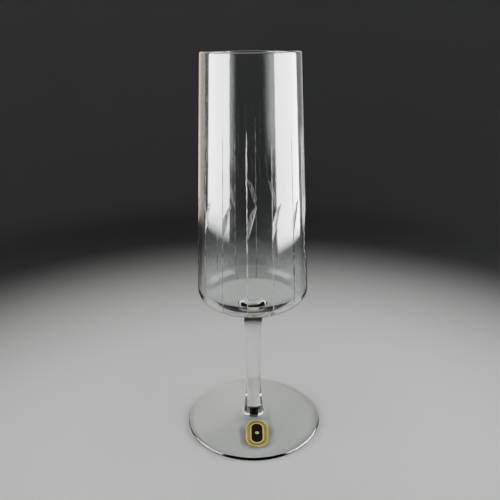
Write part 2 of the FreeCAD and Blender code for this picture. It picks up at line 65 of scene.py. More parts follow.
logging.basicConfig(level=logging.INFO, format="%(message)s")
log = logging.getLogger("flute")


class Turn(IntEnum):
    """Which way an outline bends as it is drawn, with the glass on its left."""

    LEFT = 1
    RIGHT = -1


class RecordSlot(Enum):
    """The record's material slots."""

    CRYSTAL = "crystal"
    FOIL = "foil"


class GlassFace(IntEnum):
    """Material index of each kind of glass face, the polished kinds first."""

    POLISHED = 0
    SEAM = 1
    CUT = 2
    EDGE = 3


class LabelFace(IntEnum):
    """Material index of each kind of label face."""

    FOIL = 0
    INK = 1
    RIDGE = 2


# ---------------------------------------------------------------- outlines


def moved(point: Point, step: Point, share: float) -> Point:
    """A point moved by a share of a step."""
    return (point[0] + share * step[0], point[1] + share * step[1])


def apart(last: Point, first: Point) -> Point:
    """The step from the first point to the last."""
    return (last[0] - first[0], last[1] - first[1])


def only(geometry: list, kind: type) -> list:
    """The parts of one kind among some geometry."""
    return [part for part in geometry if isinstance(part, kind)]


def everything(shape: Shape) -> list:
    """All vertices, edges and faces of a shape."""
    return shape.verts[:] + shape.edges[:] + shape.faces[:]


@dataclass(frozen=True)
class Straight:
    """A straight stretch of a half outline, from one point to another."""

    start: Point
    end: Point

    def gap(self, point: Point) -> float:
        """Distance from a point to the stretch.

        Args:
            point: The point.

        Returns:
            The shortest distance.
        """
        run = apart(self.end, self.start)
        reach = apart(point, self.start)
        along = (reach[0] * run[0] + reach[1] * run[1]) / (run[0] ** 2 + run[1] ** 2)
        return math.dist(point, moved(self.start, run, min(1.0, max(0.0, along))))

    def facing(self, point: Point) -> Point:
        """Unit normal, away from the glass on the left.

        Args:
            point: The point, which makes no difference on a straight stretch.

        Returns:
            The unit normal.
        """
        length = math.dist(self.start, self.end)
        return (
            (self.end[1] - self.start[1]) / length,
            (self.start[0] - self.end[0]) / length,
        )


@dataclass(frozen=True)
class Round:
    """A round stretch of a half outline."""

    centre: Point
    start: Point
    end: Point
    turn: Turn

    @property
    def radius(self) -> float:
        """Radius of the stretch."""
        return math.dist(self.centre, self.start)

    def turned(self, point: Point) -> float:
        """Angle from the start round to a point, the way that the stretch bends.

        Args:
            point: The point.

        Returns:
            The angle in radians, never negative.
        """
        first, here = (
            math.atan2(spot[1] - self.centre[1], spot[0] - self.centre[0])
            for spot in (self.start, point)
        )
        return ((here - first) * self.turn) % math.tau

    @property
    def sweep(self) -> float:
        """Whole angle turned, positive to the left."""
        return self.turn * self.turned(self.end)

    def gap(self, point: Point) -> float:
        """Distance from a point to the stretch, its ends included.

        Args:
            point: The point.

        Returns:
            The shortest distance.
        """
        if self.turned(point) <= abs(self.sweep):
            return abs(math.dist(point, self.centre) - self.radius)
        return min(math.dist(point, self.start), math.dist(point, self.end))

    def facing(self, point: Point) -> Point:
        """Unit normal at a point, away from the glass on the left.

        Args:
            point: The point.

        Returns:
            The unit normal.
        """
        length = math.dist(point, self.centre) or 1.0
        return (
            self.turn * (point[0] - self.centre[0]) / length,
            self.turn * (point[1] - self.centre[1]) / length,
        )


class Outline:
    """A half section in the XZ plane, drawn edge by edge and then spun about Z."""

    def __init__(self, start: Point) -> None:
        """Begin the outline.

        Args:
            start: First point, as radius and level in metres.
        """
        self.mesh = bmesh.new()
        self.stretches: list[Straight | Round] = []
        self.at = start
        self.tip = self.mesh.verts.new((start[0], 0.0, start[1]))

    def line_to(self, end: Point, steps: int = 1) -> None:
        """Draw a straight stretch.

        Args:
            end: Where it ends.
            steps: How many equal edges it has.
        """
        stride = Vector((end[0] - self.at[0], 0.0, end[1] - self.at[1])) / steps
        for _ in range(steps):
            grown = bmesh.ops.extrude_vert_indiv(self.mesh, verts=[self.tip])
            self.tip = grown["verts"][0]
            bmesh.ops.translate(self.mesh, verts=[self.tip], vec=stride)
        self.stretches.append(Straight(self.at, end))
        self.at = end

    def arc_to(self, centre: Point, end: Point, turn: Turn, steps: int) -> None:
        """Draw a round stretch.

        Args:
            centre: Centre of the arc.
            end: Where it ends.
            turn: Which way it bends.
            steps: How many equal edges it has.
        """
        bend = Round(centre, self.at, end, turn)
        swung = bmesh.ops.spin(
            self.mesh,
            geom=[self.tip],
            cent=(centre[0], 0.0, centre[1]),
            axis=(0.0, -1.0, 0.0),
            angle=bend.sweep,
            steps=steps,
            use_merge=False,
        )
        self.tip = only(swung["geom_last"], bmesh.types.BMVert)[0]
        self.stretches.append(bend)
        self.at = end

    def revolve(self, columns: int) -> Shape:
        """Spin the outline about Z into a closed surface.

        Args:
            columns: How many faces go round.

        Returns:
            The mesh, its poles and seam closed, facing outwards.
        """
        bmesh.ops.spin(
            self.mesh,
            geom=self.mesh.verts[:] + self.mesh.edges[:],
            cent=(0.0, 0.0, 0.0),
            axis=UP,
            angle=math.tau,
            steps=columns,
            use_merge=True,
        )
        bmesh.ops.remove_doubles(self.mesh, verts=self.mesh.verts[:], dist=MERGE_GAP)
        bmesh.ops.recalc_face_normals(self.mesh, faces=self.mesh.faces[:])
        return self.mesh

    def normal_for(self, middle: Vector, corner: Vector) -> Vector:
        """Exact surface normal at one corner of a face.

        Args:
            middle: The face's middle, which tells the stretch that it lies on.
            corner: The corner's place.

        Returns:
            The unit normal of that stretch at the corner.
        """
        spot = (math.hypot(middle.x, middle.y), middle.z)
        stretch = min(self.stretches, key=lambda s: s.gap(spot))
        radius = math.hypot(corner.x, corner.y)
        outward, upward = stretch.facing((radius, corner.z))
        if radius < MERGE_GAP:
            return Vector((0.0, 0.0, math.copysign(1.0, upward)))
        return Vector((corner.x / radius * outward, corner.y / radius * outward, upward))


def axis_centre(point: Point, centre: Point, radius: float) -> float:
    """Level of the centre, on the axis, of an arc that touches a round corner.

    Args:
        point: Where the arc starts.
        centre: Centre of the round corner, which lies inside the arc.
        radius: Radius of the round corner.

    Returns:
        The level of the arc's centre.
    """
    spare = point[0] ** 2 + point[1] ** 2 - centre[0] ** 2 - centre[1] ** 2 - radius**2
    rise = 2 * (centre[1] - point[1])
    square = rise**2 - 4 * radius**2
    linear = 2 * spare * rise + 8 * radius**2 * centre[1]
    constant = spare**2 - 4 * radius**2 * (centre[0] ** 2 + centre[1] ** 2)
    root = math.sqrt(linear**2 - 4 * square * constant)
    levels = [(-linear + sign * root) / (2 * square) for sign in (1, -1)]
    return max(level for level in levels if spare + rise * level > 0)


def touch_point(centre: Point, radius: float, big_centre: Point) -> Point:
    """Where a circle touches the larger circle that holds it.

    Args:
        centre: Centre of the circle.
        radius: Its radius.
        big_centre: Centre of the larger circle.

    Returns:
        The touching point.
    """
    share = 1 + radius / math.dist(centre, big_centre)
    return moved(big_centre, apart(centre, big_centre), share)


def held_centre(
    point: Point, radius: float, big_centre: Point, big_radius: float, side: Turn
) -> Point:
    """Centre of a circle through a point that touches a large circle from within.

    Args:
        point: The point.
        radius: Radius of the circle sought.
        big_centre: Centre of the large circle.
        big_radius: Radius of the large circle.
        side: Which of the two such circles is meant.

    Returns:
        The centre sought.
    """
    gap = math.dist(point, big_centre)
    reach = big_radius - radius
    along = (gap**2 + radius**2 - reach**2) / (2 * gap)
    across = side * math.sqrt(radius**2 - along**2)
    unit = ((big_centre[0] - point[0]) / gap, (big_centre[1] - point[1]) / gap)
    return (
        point[0] + along * unit[0] - across * unit[1],
        point[1] + along * unit[1] + across * unit[0],
    )


# ---------------------------------------------------------------- finishes


class Recipe:
    """A material's node tree, with one short call for each node."""

    def __init__(self, name: str) -> None:
        """Start an empty material.

        Args:
            name: The material's name.
        """
        self.material = bpy.data.materials.new(name)
        self.material.use_nodes = True
        self.tree = self.material.node_tree
        self.tree.nodes.clear()

    def node(self, kind: str, values: dict | None = None, **settings: object) -> bpy.types.Node:
        """Add a node.

        Args:
            kind: Its type, without the ShaderNode prefix.
            values: Its inputs by name or index, each a value or a socket to link.
            settings: Its own settings.

        Returns:
            The node.
        """
        made = self.tree.nodes.new("ShaderNode" + kind)
        for key, value in settings.items():
            setattr(made, key, value)
        for key, value in (values or {}).items():
            if isinstance(value, Socket):
                self.tree.links.new(value, made.inputs[key])
            else:
                made.inputs[key].default_value = value
        return made

    def place(self, scale: Stretch) -> Socket:
        """Object coordinates, stretched.

        Args:
            scale: How much along each axis.

        Returns:
            The stretched place.
        """
        here = self.node("TexCoord")
        return self.node(
            "Mapping", {"Vector": here.outputs["Object"], "Scale": scale}
        ).outputs["Vector"]

    def noise(self, scale: Stretch, detail: float = 2.0, rough: float = 0.5) -> Socket:
        """Noise, about 0.5 on average.

        Args:
            scale: Bumps in a metre along each axis.
            detail: How many finer layers it has.
            rough: How strong the finer layers are.

        Returns:
            The noise.
        """
        return self.node(
            "TexNoise",
            {"Vector": self.place(scale), "Scale": 1.0, "Detail": detail, "Roughness": rough},
        ).outputs["Fac"]

    def span(
        self, value: Socket, low: float, high: float,
        source: Point = (0.0, 1.0), smooth: bool = False,
    ) -> Socket:
        """Map a value from a source range to another.

        Args:
            value: The value.
            low: What the source's start becomes.
            high: What the source's end becomes.
            source: The source range.
            smooth: Whether the change eases in and out.

        Returns:
            The mapped value.
        """
        return self.node(
            "MapRange",
            {
                "Value": value,
                "From Min": source[0],
                "From Max": source[1],
                "To Min": low,
                "To Max": high,
            },
            interpolation_type="SMOOTHSTEP" if smooth else "LINEAR",
        ).outputs["Result"]

    def blend(self, share: Socket, first: Colour, second: Colour) -> Socket:
        """Mix of two colours.

        Args:
            share: Share of the second colour.
            first: The first colour.
            second: The second colour.

        Returns:
            The mixed colour.
        """
        mixed = self.node("Mix", {"Factor": share}, data_type="RGBA")
        mixed.inputs["A"].default_value = (*first, 1.0)
        mixed.inputs["B"].default_value = (*second, 1.0)
        return mixed.outputs["Result"]

    def bump(self, height: Socket, depth: float, before: object = None) -> Socket:
        """Relief, on top of another if one is given.

        Args:
            height: Height of the relief, from 0 to 1.
            depth: Its depth in metres.
            before: The relief beneath it.

        Returns:
            The normal.
        """
        values = {"Height": height, "Distance": depth, "Strength": 1.0}
        if before is not None:
            values["Normal"] = before
        return self.node("Bump", values).outputs["Normal"]

    def principled(self, values: dict) -> Material:
        """Finish the material with one principled shader.

        Args:
            values: The shader's inputs by name, each a value or a socket.

        Returns:
            The material.
        """
        shader = self.node("BsdfPrincipled", values)
        self.node("OutputMaterial", {"Surface": shader.outputs[0]})
        return self.material


@dataclass(frozen=True)
class PolishedCrystal:
    """Fire-polished crystal with faint draw lines and the smears of a cloth."""

    name: str = "polished_crystal"
    tint: Colour = (0.975, 0.988, 0.982)
    smear_tint: Colour = (0.955, 0.968, 0.962)
    ior: float = 1.525
    smear_stretch: Stretch = (90.0, 90.0, 30.0)
    smear_range: Point = (0.52, 0.75)
    draw_stretch: Stretch = (520.0, 520.0, 9.0)
    draw_depth: float = 0.001 * MM
    ripple_stretch: Stretch = (110.0, 110.0, 45.0)
    ripple_depth: float = 0.004 * MM

    def build(self) -> Material:
        """Make the material.

        Returns:
            The material.
        """
        recipe = Recipe(self.name)
        smear = recipe.noise(self.smear_stretch, detail=5.0, rough=0.6)
        patch = recipe.span(smear, 0.0, 1.0, source=self.smear_range, smooth=True)
        draw = recipe.noise(self.draw_stretch)
        ripple = recipe.noise(self.ripple_stretch, detail=1.0)
        relief = recipe.bump(draw, self.draw_depth)
        relief = recipe.bump(ripple, self.ripple_depth, relief)
        return recipe.principled({
            "Base Color": recipe.blend(patch, self.tint, self.smear_tint),
            "Roughness": 0.0,
            "IOR": self.ior,
            "Transmission Weight": 1.0,
            "Normal": relief,
        })


@dataclass(frozen=True)
class FusedSeam:
    """Where two lumps of glass are fused: light goes straight on."""

    name: str = "fused_seam"

    def build(self) -> Material:
        """Make the material.

        Returns:
            The material.
        """
        recipe = Recipe(self.name)
        return recipe.principled({
            "Base Color": (1.0, 1.0, 1.0, 1.0),
            "Roughness": 0.0,
            "IOR": 1.0,
            "Transmission Weight": 1.0,
        })


@dataclass(frozen=True)
class WheelCut:
    """Satin glass left by the cutting wheel, with grinding streaks along the cut."""

    name: str = "wheel_cut"
    tint: Colour = (0.84, 0.85, 0.84)
    bright: Colour = (1.0, 1.0, 0.985)
    ior: float = 1.525
    transmission: float = 0.78
    gloss: float = 0.30
    roughness: Point = (0.18, 0.32)
    streak_stretch: Stretch = (6400.0, 6400.0, 120.0)
    streak_range: Point = (0.35, 0.65)
    cloud_range: Point = (0.38, 0.60)
    streak_depth: float = 0.004 * MM

    def build(self) -> Material:
        """Make the material.

        Returns:
            The material.
        """
        recipe = Recipe(self.name)
        streak = recipe.noise(self.streak_stretch, detail=1.0)
        cloud = recipe.span(streak, 0.0, 1.0, source=self.cloud_range, smooth=True)
        return recipe.principled({
            "Base Color": recipe.blend(cloud, self.tint, self.bright),
            "Roughness": recipe.span(streak, *self.roughness, source=self.streak_range),
            "IOR": self.ior,
            "Transmission Weight": self.transmission,
            "Specular IOR Level": self.gloss,
            "Normal": recipe.bump(streak, self.streak_depth),
        })


@dataclass(frozen=True)
class GoldFoil:
    """Embossed gold foil, uneven in colour and sheen."""

    name: str = "gold_foil"
    gold: Colour = (0.17, 0.122, 0.026)
    pale: Colour = (0.25, 0.195, 0.052)
    metal: float = 0.85
    roughness: Point = (0.34, 0.55)
    cloud_stretch: Stretch = (420.0, 420.0, 420.0)
    grain_stretch: Stretch = (2600.0, 2600.0, 2600.0)
    grain_depth: float = 0.006 * MM

    def build(self) -> Material:
        """Make the material.

        Returns:
            The material.
        """
        recipe = Recipe(self.name)
        grain = recipe.noise(self.grain_stretch, detail=4.0, rough=0.65)
        cloud = recipe.noise(self.cloud_stretch, detail=3.0)
        return recipe.principled({
            "Base Color": recipe.blend(cloud, self.gold, self.pale),
            "Metallic": self.metal,
            "Roughness": recipe.span(cloud, *self.roughness),
            "Normal": recipe.bump(grain, self.grain_depth),
        })


@dataclass(frozen=True)
class BlackInk:
    """Dense dark ink printed on the foil, slightly uneven."""

    name: str = "black_ink"
    deep: Colour = (0.006, 0.006, 0.007)
    thin: Colour = (0.014, 0.012, 0.009)
    roughness: Point = (0.32, 0.50)
    gloss: float = 0.08
    grain_stretch: Stretch = (3200.0, 3200.0, 3200.0)
    grain_depth: float = 0.003 * MM

    def build(self) -> Material:
        """Make the material.

        Returns:
            The material.
        """
        recipe = Recipe(self.name)
        grain = recipe.noise(self.grain_stretch, detail=3.0)
        return recipe.principled({
            "Base Color": recipe.blend(grain, self.deep, self.thin),
            "Roughness": recipe.span(grain, *self.roughness),
            "Specular IOR Level": self.gloss,
            "Normal": recipe.bump(grain, self.grain_depth),
        })


WHEEL_EDGE = WheelCut(
    name="wheel_edge",
    tint=(0.90, 0.91, 0.90),
    transmission=0.30,
    gloss=0.5,
    roughness=(0.24, 0.38),
)
RAISED_FOIL = GoldFoil(
    name="raised_foil",
    gold=(0.38, 0.31, 0.11),
    pale=(0.48, 0.42, 0.185),
)


# ---------------------------------------------------------------- pieces


def to_mesh(shape: Shape, name: str) -> Mesh:
    """Turn a finished shape into a mesh and free it.

    Args:
        shape: The shape.
        name: The mesh's name.

    Returns:
        The mesh.
    """
    mesh = bpy.data.meshes.new(name)
    shape.to_mesh(mesh)
    shape.free()
    return mesh


def in_scene(data: bpy.types.ID, name: str) -> Object:
    """Make an object of a mesh or a camera and put it in the scene.

    Args:
        data: The mesh or camera.
        name: The object's name.

    Returns:
        The object.
    """
    made = bpy.data.objects.new(name, data)
    bpy.context.scene.collection.objects.link(made)
    return made


def as_piece(mesh: Mesh, name: str, node: str) -> Object:
    """Put a finished mesh in the scene in place of a CAD node.

    Args:
        mesh: The mesh, already in its place.
        name: The piece's name.
        node: The CAD node that it stands for.

    Returns:
        The piece.
    """
    piece = in_scene(mesh, name)
    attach(piece, BODY)
    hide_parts(node)
    log.info("%s: %d faces for node %s", name, len(mesh.polygons), node)
    return piece


def dress_seams(shape: Shape, levels: list[float]) -> None:
    """Give the flat discs where glass is fused the seam's finish.

    Args:
        shape: The mesh.
        levels: The levels of the discs.
    """
    for face in shape.faces:
        for level in levels:
            if all(abs(vert.co.z - level) < MERGE_GAP for vert in face.verts):
                face.material_index = GlassFace.SEAM


def mark_sharp(mesh: Mesh, angle: float) -> None:
    """Shade smoothly, with a crease wherever faces meet at more than an angle."""
    mesh.shade_smooth()
    mesh.set_sharp_from_angle(angle=angle)


def exact_normals(mesh: Mesh, outline: Outline, crease: float) -> None:
    """Crease the mesh and give its polished faces the outline's own normals.

    Args:
        mesh: The mesh.
        outline: The outline that its polished faces were spun from.
        crease: The angle above which an edge is a crease.
    """
    mark_sharp(mesh, crease)
    normals = [Vector(normal.vector) for normal in mesh.corner_normals]
    for polygon in mesh.polygons:
        if polygon.material_index < GlassFace.CUT:
            for corner in polygon.loop_indices:
                place = mesh.vertices[mesh.loops[corner].vertex_index].co
                normals[corner] = outline.normal_for(polygon.center, place)
    mesh.normals_split_custom_set(normals)


@dataclass
class GlassSet:
    """The finishes that the glass pieces share."""

    polished: Material = field(default_factory=lambda: PolishedCrystal().build())
    seam: Material = field(default_factory=lambda: FusedSeam().build())
    cut: Material = field(default_factory=lambda: WheelCut().build())
    edge: Material = field(default_factory=lambda: WHEEL_EDGE.build())

    def dress(self, mesh: Mesh) -> None:
        """Add the finishes in the order of GlassFace."""
        for material in (self.polished, self.seam, self.cut, self.edge):
            mesh.materials.append(material)

    def spin(self, outline: Outline, columns: int, seams: list[float], name: str) -> Mesh:
        """Spin an outline into glass.

        Args:
            outline: The half section.
            columns: How many faces go round.
            seams: Levels of the discs where it is fused to other glass.
            name: The mesh's name.

        Returns:
            The mesh, with its finishes.
        """
        shape = outline.revolve(columns)
        dress_seams(shape, seams)
        mesh = to_mesh(shape, name)
        self.dress(mesh)
        return mesh


@dataclass
class Bowl:
    """Tapered bowl with fourteen motifs, each a mitre line and a leaf."""

    rim_middle: float = 21.35 * MM
    rim_round: float = 0.55 * MM
    belly: Point = (26.87 * MM, 78.2 * MM)
    corner_round: float = 7.0 * MM
    inner_belly: Point = (25.35 * MM, 78.8 * MM)
    inner_corner_round: float = 6.6 * MM
    floor_level: float = 69.3 * MM
    seat_radius: float = 7.6 * MM
    motifs: int = 14
    motif_phase: float = math.radians(7.66)
    clearance: float = 0.5 * MM
    line_depth: float = 0.2 * MM
    line_top: float = 156.8 * MM
    line_run_out: float = 6.0 * MM
    line_end_angle: float = math.radians(66.0)
    line_flank: float = math.radians(40.0)
    leaf_foot: float = 109.4 * MM
    leaf_length: float = 17.8 * MM
    leaf_lean: float = math.radians(15.0)
    leaf_depth: float = 0.5 * MM
    leaf_facet_slope: float = math.radians(13.0)
    leaf_edge_slope: float = math.radians(62.0)
    leaf_sweep: float = math.radians(22.0)
    steep_facing: float = 0.5
    columns: int = 420
    disc_steps: int = 3
    dome_steps: int = 10
    corner_steps: int = 22
    rim_steps: int = 12
    floor_steps: int = 14
    line_bend_steps: int = 24
    leaf_steps: int = 40
    crease: float = math.radians(12.0)

    def __post_init__(self) -> None:
        """Read the rim and the seat from the frame and work out the tangents."""
        low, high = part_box("bowl")
        self.seat_level = low.z
        self.rim = (self.rim_middle, high.z - self.rim_round)
        self.lean = self.wall_lean(self.belly, -1)
        self.inner_lean = self.wall_lean(self.inner_belly, 1)
        self.corner = self.corner_centre(self.belly, self.corner_round, self.lean)
        self.inner_corner = self.corner_centre(
            self.inner_belly, self.inner_corner_round, self.inner_lean
        )

    def wall_lean(self, foot: Point, side: int) -> float:
        """Lean of a wall that touches the rim's round edge on one side."""
        across, up = foot[0] - self.rim[0], self.rim[1] - foot[1]
        return math.atan2(across, up) + side * math.asin(self.rim_round / math.hypot(across, up))

    @staticmethod
    def corner_centre(foot: Point, radius: float, lean: float) -> Point:
        """Centre of the corner that a leaning wall runs into."""
        return (foot[0] - radius * math.cos(lean), foot[1] - radius * math.sin(lean))

    def outline(self) -> Outline:
        """Half section of the uncut bowl, from the seat up and round to the floor.

        Returns:
            The outline.
        """
        seat = (self.seat_radius, self.seat_level)
        middle = (0.0, self.floor_level)
        dome = (0.0, axis_centre(seat, self.corner, self.corner_round))
        floor = (0.0, axis_centre(middle, self.inner_corner, self.inner_corner_round))
        outside, inside = (
            moved(self.rim, (math.cos(lean), math.sin(lean)), reach)
            for lean, reach in ((self.lean, self.rim_round), (self.inner_lean, -self.rim_round))
        )
        drawn = Outline((0.0, self.seat_level))
        drawn.line_to(seat, self.disc_steps)
        low = touch_point(self.corner, self.corner_round, dome)
        drawn.arc_to(dome, low, Turn.LEFT, self.dome_steps)
        drawn.arc_to(self.corner, self.belly, Turn.LEFT, self.corner_steps)
        drawn.line_to(outside)
        drawn.arc_to(self.rim, inside, Turn.LEFT, self.rim_steps)
        drawn.line_to(self.inner_belly)
        low = touch_point(self.inner_corner, self.inner_corner_round, floor)
        drawn.arc_to(self.inner_corner, low, Turn.RIGHT, self.corner_steps)
        drawn.arc_to(floor, middle, Turn.RIGHT, self.floor_steps)
        return drawn

    def beside_wall(self, level: float, offset: float) -> Vector:
        """A point of the XZ plane at a level, this far outside the wall."""
        radius = self.belly[0] - (level - self.belly[1]) * math.tan(self.lean)
        return Vector((radius + offset, 0.0, level))

    def ring_of(self, shape: Shape, name: str) -> Object:
        """Repeat one cutter round the bowl and make it an object.

        Args:
            shape: The cutter of the first motif, before the phase is added.
            name: The cutter's name.

        Returns:
            The cutter object.
        """
        bmesh.ops.rotate(
            shape, verts=shape.verts[:], cent=(0, 0, 0),
            matrix=Matrix.Rotation(self.motif_phase, 3, "Z"),
        )
        bmesh.ops.spin(
            shape,
            geom=everything(shape),
            cent=(0.0, 0.0, 0.0),
            axis=UP,
            angle=math.tau * (self.motifs - 1) / self.motifs,
            steps=self.motifs - 1,
            use_duplicate=True,
        )
        bmesh.ops.recalc_face_normals(shape, faces=shape.faces[:])
        return in_scene(to_mesh(shape, name), name)

    def wedge(self, shape: Shape, deep: float, left: float, right: float) -> list:
        """Triangle section in the XY plane, its ridge towards -X.

        Args:
            shape: The mesh that it is drawn in.
            deep: Depth of its ridge below the wall.
            left: Slope of its face on the -Y side.
            right: Slope of its face on the +Y side.

        Returns:
            The new vertices.
        """
        tall = deep + self.clearance
        verts = [
            shape.verts.new((-deep, 0.0, 0.0)),
            shape.verts.new((self.clearance, -tall / math.tan(left), 0.0)),
            shape.verts.new((self.clearance, tall / math.tan(right), 0.0)),
        ]
        shape.faces.new(verts)
        return verts

    def line_wheels(self) -> Object:
        """Cutter of the straight lines: round the corner, up the wall, fading out.

        Returns:
            The ring of cutters.
        """
        shape = bmesh.new()
        verts = self.wedge(shape, self.line_depth, self.line_flank, self.line_flank)
        start = Vector((self.corner[0] + self.corner_round, 0.0, self.corner[1]))
        bmesh.ops.translate(shape, verts=verts, vec=start)
        pivot = Vector((self.corner[0], 0.0, self.corner[1]))
        bmesh.ops.rotate(
            shape, verts=verts, cent=pivot,
            matrix=Matrix.Rotation(self.line_end_angle, 3, "Y"),
        )
        swung = bmesh.ops.spin(
            shape, geom=shape.faces[:], cent=pivot, axis=(0.0, -1.0, 0.0),
            angle=self.line_end_angle + self.lean, steps=self.line_bend_steps,
        )
        straight_top = self.line_top - self.line_run_out
        climb = self.beside_wall(straight_top, 0.0) - self.beside_wall(self.belly[1], 0.0)
        raised = self.pull(shape, swung["geom_last"], climb)
        tip = self.line_top + self.line_run_out * self.clearance / self.line_depth
        last = self.pull(shape, raised, Vector())
        ends = only(last, bmesh.types.BMVert)
        bmesh.ops.pointmerge(shape, verts=ends, merge_co=self.beside_wall(tip, self.clearance))
        for face in shape.faces:
            face.material_index = GlassFace.CUT
        return self.ring_of(shape, "line_wheels")

    @staticmethod
    def pull(shape: Shape, geometry: list, move: Vector) -> list:
        """Extrude the faces among some geometry and move the new end.

        Args:
            shape: The mesh.
            geometry: The geometry, with the faces among it.
            move: How far the new end moves.

        Returns:
            The new geometry.
        """
        faces = only(geometry, bmesh.types.BMFace)
        pulled = bmesh.ops.extrude_face_region(shape, geom=faces)["geom"]
        bmesh.ops.delete(shape, geom=faces, context="FACES_ONLY")
        ends = only(pulled, bmesh.types.BMVert)
        bmesh.ops.translate(shape, verts=ends, vec=move)
        return pulled

    def leaf_wheels(self) -> Object:
        """Cutter of the leaves: a slanting wheel that dips into the wall.

        Returns:
            The ring of cutters, with their steep faces marked.
        """
        shape = bmesh.new()
        verts = self.wedge(shape, self.leaf_depth, self.leaf_facet_slope, self.leaf_edge_slope)
        spindle = self.leaf_length**2 / (8 * self.leaf_depth) - self.leaf_depth / 2
        hub = Vector((spindle, 0.0, 0.0))
        bmesh.ops.rotate(
            shape, verts=verts, cent=hub,
            matrix=Matrix.Rotation(-self.leaf_sweep / 2, 3, "Y"),
        )
        bmesh.ops.spin(
            shape, geom=shape.faces[:], cent=hub, axis=(0.0, 1.0, 0.0),
            angle=self.leaf_sweep, steps=self.leaf_steps,
        )
        bmesh.ops.recalc_face_normals(shape, faces=shape.faces[:])
        for face in shape.faces:
            steep = face.normal.y > self.steep_facing
            face.material_index = GlassFace.EDGE if steep else GlassFace.CUT
        level = self.leaf_foot + self.leaf_length / 2 * math.cos(self.leaf_lean)
        radius = self.beside_wall(level, 0.0).x
        turn = self.leaf_length / 2 * math.sin(self.leaf_lean) / radius
        place = (
            Matrix.Translation((radius * math.cos(turn), radius * math.sin(turn), level))
            @ Matrix.Rotation(turn, 4, "Z")
            @ Matrix.Rotation(-self.lean, 4, "Y")
            @ Matrix.Rotation(-self.leaf_lean, 4, "X")
        )
        bmesh.ops.transform(shape, matrix=place, verts=shape.verts[:])
        return self.ring_of(shape, "leaf_wheels")

    def build(self, glass: GlassSet) -> Object:
        """Blow, cut and dress the bowl.

        Args:
            glass: The finishes of the glass.

        Returns:
            The bowl.
        """
        outline = self.outline()
        uncut = glass.spin(outline, self.columns, [self.seat_level], "bowl_blank")
        blank = in_scene(uncut, "bowl_blank")
        cutters = [self.line_wheels(), self.leaf_wheels()]
        for cutter in cutters:
            glass.dress(cutter.data)
            cut = blank.modifiers.new(cutter.name, "BOOLEAN")
            cut.operation = "DIFFERENCE"
            cut.solver = "EXACT"
            cut.object = cutter
        graph = bpy.context.evaluated_depsgraph_get()
        mesh = bpy.data.meshes.new_from_object(blank.evaluated_get(graph))
        mesh.name = "cut_bowl"
        shape = bmesh.new()
        shape.from_mesh(mesh)
        bmesh.ops.remove_doubles(shape, verts=shape.verts[:], dist=MERGE_GAP)
        shape.to_mesh(mesh)
        shape.free()
        for spent in (blank, *cutters):
            bpy.data.objects.remove(spent)
        exact_normals(mesh, outline, self.crease)
        return as_piece(mesh, "cut_bowl", "bowl")


@dataclass
class Stem:
    """Drawn stem, slim at its waist and flared at both ends."""

    waist_curve: float = 450.0 * MM
    waist: Point = (3.6 * MM, 31.0 * MM)
    ankle_curve: float = 200.0 * MM
    flare_curve: float = 35.0 * MM
    hub_radius: float = 5.1 * MM
    collar: Point = (6.178 * MM, 64.55 * MM)
    collar_round: float = 3.0 * MM
    seat_radius: float = 7.6 * MM
    columns: int = 160
    disc_steps: int = 2
    bend_steps: int = 12
    collar_steps: int = 8

    def outline(self) -> Outline:
        """Half section of the stem, from the hub up to the seat.

        Returns:
            The outline.
        """
        low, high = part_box("stem")
        hub = (self.hub_radius, low.z)
        seat = (self.seat_radius, high.z)
        waist = (self.waist[0] + self.waist_curve, self.waist[1])
        ankle = held_centre(hub, self.ankle_curve, waist, self.waist_curve, Turn.LEFT)
        flare = held_centre(self.collar, self.flare_curve, waist, self.waist_curve, Turn.RIGHT)
        share = self.collar_round / self.flare_curve
        round_over = moved(self.collar, apart(flare, self.collar), share)
        drawn = Outline((0.0, hub[1]))
        low_touch = touch_point(ankle, self.ankle_curve, waist)
        high_touch = touch_point(flare, self.flare_curve, waist)
        drawn.line_to(hub, self.disc_steps)
        drawn.arc_to(ankle, low_touch, Turn.RIGHT, self.bend_steps)
        drawn.arc_to(waist, high_touch, Turn.RIGHT, self.bend_steps)
        drawn.arc_to(flare, self.collar, Turn.RIGHT, self.bend_steps)
        drawn.arc_to(round_over, seat, Turn.RIGHT, self.collar_steps)
        drawn.line_to((0.0, seat[1]), self.disc_steps)
        return drawn

    def build(self, glass: GlassSet) -> Object:
        """Draw and dress the stem.

        Args:
            glass: The finishes of the glass.

        Returns:
            The stem.
        """
        low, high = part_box("stem")
        outline = self.outline()
        mesh = glass.spin(outline, self.columns, [low.z, high.z], "drawn_stem")
        exact_normals(mesh, outline, SEAM_CREASE)
        return as_piece(mesh, "drawn_stem", "stem")


